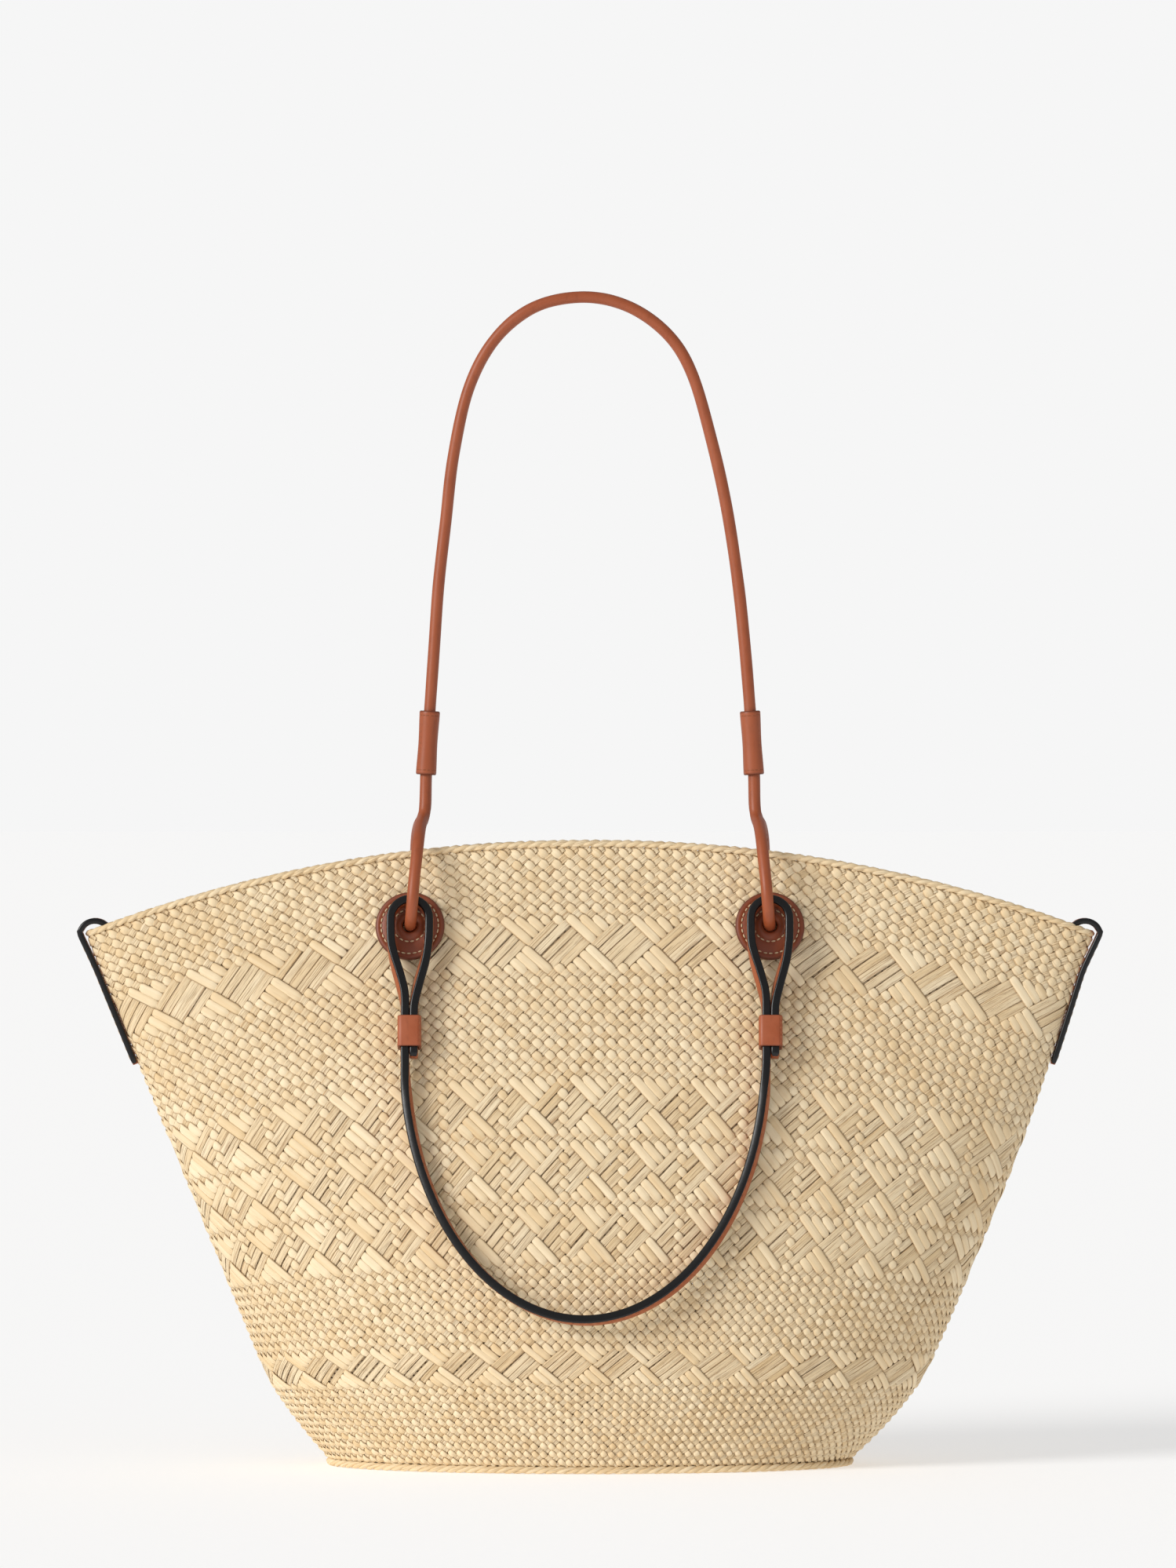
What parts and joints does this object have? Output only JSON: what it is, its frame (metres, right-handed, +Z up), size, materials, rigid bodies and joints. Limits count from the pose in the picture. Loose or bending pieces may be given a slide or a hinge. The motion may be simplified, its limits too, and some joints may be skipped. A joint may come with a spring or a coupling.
{
  "type": "beach bag",
  "caption": "Fan-shaped plaited palm basket bag with a folding rolled-leather shoulder handle and two swinging leather hand straps.",
  "frame": {"origin": "centre of the face the basket stands on, midway between front and back and between the side folds", "axes": "+Z up towards the shoulder handle, +X to the viewer's right along the mouth, +Y from the front panel to the back panel"},
  "size_m": [0.5224, 0.1874, 0.598],
  "materials": {
    "woven_palm": "plaited dried palm fibre, dry and slightly shiny along the strands",
    "palm_braid": "twisted dried palm fibre",
    "tan_leather": "smooth vegetable-tanned leather",
    "rolled_leather": "rolled and glued cord leather, satin",
    "edge_paint": "leather with glossy black edge paint",
    "cream_thread": "waxed cream sewing thread",
    "brown_thread": "waxed tan sewing thread"
  },
  "bodies": {
    "basket": {"woven_wall": "woven_palm", "woven_base": "woven_palm", "base_welt": "palm_braid", "rim_braid": "palm_braid", "front_left_patch": "tan_leather", "front_right_patch": "tan_leather", "back_left_patch": "tan_leather", "back_right_patch": "tan_leather", "front_left_patch_thread": "cream_thread", "front_right_patch_thread": "cream_thread", "back_left_patch_thread": "cream_thread", "back_right_patch_thread": "cream_thread", "front_left_backer": "tan_leather", "front_right_backer": "tan_leather", "back_left_backer": "tan_leather", "back_right_backer": "tan_leather", "left_side_tab": "tan_leather", "right_side_tab": "tan_leather", "left_tab_thread": "cream_thread", "right_tab_thread": "cream_thread", "left_cord_loop": "rolled_leather", "right_cord_loop": "rolled_leather"},
    "shoulder_handle": {"shoulder_arch": "rolled_leather", "left_cord_end": "rolled_leather", "right_cord_end": "rolled_leather", "left_sleeve": "tan_leather", "right_sleeve": "tan_leather", "left_sleeve_thread": "brown_thread", "right_sleeve_thread": "brown_thread"},
    "front_handle": {"front_strap": "edge_paint", "front_strap_thread": "brown_thread", "front_left_keeper": "tan_leather", "front_right_keeper": "tan_leather", "front_keeper_thread": "brown_thread"},
    "back_handle": {"back_strap": "edge_paint", "back_strap_thread": "brown_thread", "back_left_keeper": "tan_leather", "back_right_keeper": "tan_leather", "back_keeper_thread": "brown_thread"}
  },
  "joints": [
    {"name": "shoulder_handle_fold", "type": "hinge", "parent": "basket", "child": "shoulder_handle", "pos_m": [0, 0, 0.3435], "axis": [1, 0, 0], "range_deg": [-85, 85]},
    {"name": "front_handle_swing", "type": "hinge", "parent": "basket", "child": "front_handle", "pos_m": [0, -0.03563, 0.288], "axis": [-1, 0, 0], "range_deg": [0, 155]},
    {"name": "back_handle_swing", "type": "hinge", "parent": "basket", "child": "back_handle", "pos_m": [0, 0.03563, 0.288], "axis": [1, 0, 0], "range_deg": [0, 155]}
  ]
}
